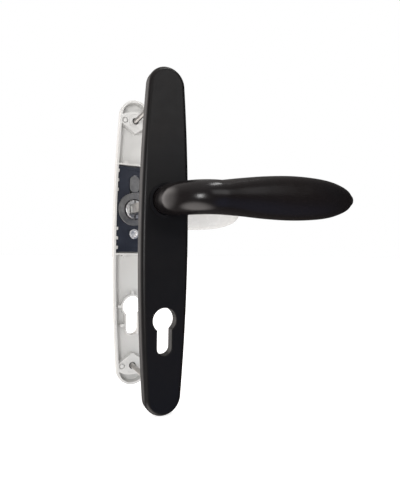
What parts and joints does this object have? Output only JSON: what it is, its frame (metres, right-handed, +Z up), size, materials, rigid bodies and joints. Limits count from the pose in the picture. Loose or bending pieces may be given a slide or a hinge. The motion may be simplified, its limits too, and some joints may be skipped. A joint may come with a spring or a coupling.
{
  "type": "sprung lever door handle pair on long plates",
  "caption": "Dark outside and white inside lever handles on long plates, sprung to return level, bolted through the door, each with a euro-profile keyhole.",
  "frame": {"origin": "on the spindle's axis, midway between the two plates' rims, at the middle of the door's thickness", "axes": "+Z up along the plates, X across the door with both levers pointing to +X, the outside handle faces -Y and the inside handle +Y"},
  "size_m": [0.1525, 0.1884, 0.25],
  "materials": {
    "dark_paint": "satin dark bronze powder coat on die-cast zinc",
    "dark_paint_lever": "satin dark bronze powder coat, slightly smoother on the lever",
    "white_paint": "satin white powder coat on die-cast zinc",
    "white_paint_lever": "satin white powder coat, slightly smoother on the lever",
    "black_nylon": "moulded blue-black nylon",
    "grey_zinc": "dull grey cast zinc",
    "bare_zinc": "bright bare cast zinc",
    "plated_steel": "zinc-plated steel",
    "spring_steel": "oiled spring steel"
  },
  "bodies": {
    "plates": {"outside_plate": "dark_paint", "outside_neck_bush": "black_nylon", "outside_cassette_cover": "black_nylon", "outside_cassette_body": "black_nylon", "outside_spring_anchor": "grey_zinc", "outside_cassette_rivet": "bare_zinc", "outside_return_spring": "spring_steel", "inside_plate": "white_paint", "inside_neck_bush": "black_nylon", "inside_cassette_cover": "black_nylon", "inside_cassette_body": "black_nylon", "inside_spring_anchor": "grey_zinc", "inside_cassette_rivet": "bare_zinc", "inside_return_spring": "spring_steel", "upper_screw": "plated_steel", "lower_screw": "plated_steel"},
    "outside_handle": {"outside_lever": "dark_paint_lever", "outside_hub": "bare_zinc", "outside_circlip": "spring_steel", "outside_cam": "grey_zinc"},
    "inside_handle": {"inside_lever": "white_paint_lever", "inside_hub": "bare_zinc", "inside_circlip": "spring_steel", "inside_cam": "grey_zinc"},
    "spindle_bar": {"spindle": "plated_steel"}
  },
  "joints": [
    {"name": "outside_lever_turn", "type": "hinge", "parent": "plates", "child": "outside_handle", "pos_m": [0, 0, 0], "axis": [0, 1, 0], "range_deg": [-40, 40], "stiffness_Nm_per_rad": 3, "springref_deg": -3.4, "deforming": ["outside_return_spring"]},
    {"name": "inside_lever_turn", "type": "hinge", "parent": "plates", "child": "inside_handle", "pos_m": [0, 0, 0], "axis": [0, 1, 0], "range_deg": [-40, 40], "stiffness_Nm_per_rad": 3, "springref_deg": -3.4, "deforming": ["inside_return_spring"]},
    {"name": "spindle_turn", "type": "hinge", "parent": "plates", "child": "spindle_bar", "pos_m": [0, 0, 0], "axis": [0, 1, 0], "range_deg": [-40, 40]}
  ],
  "couplings": [
    {"joint": "inside_lever_turn", "follows": "outside_lever_turn", "ratio": 1},
    {"joint": "spindle_turn", "follows": "outside_lever_turn", "ratio": 1}
  ]
}
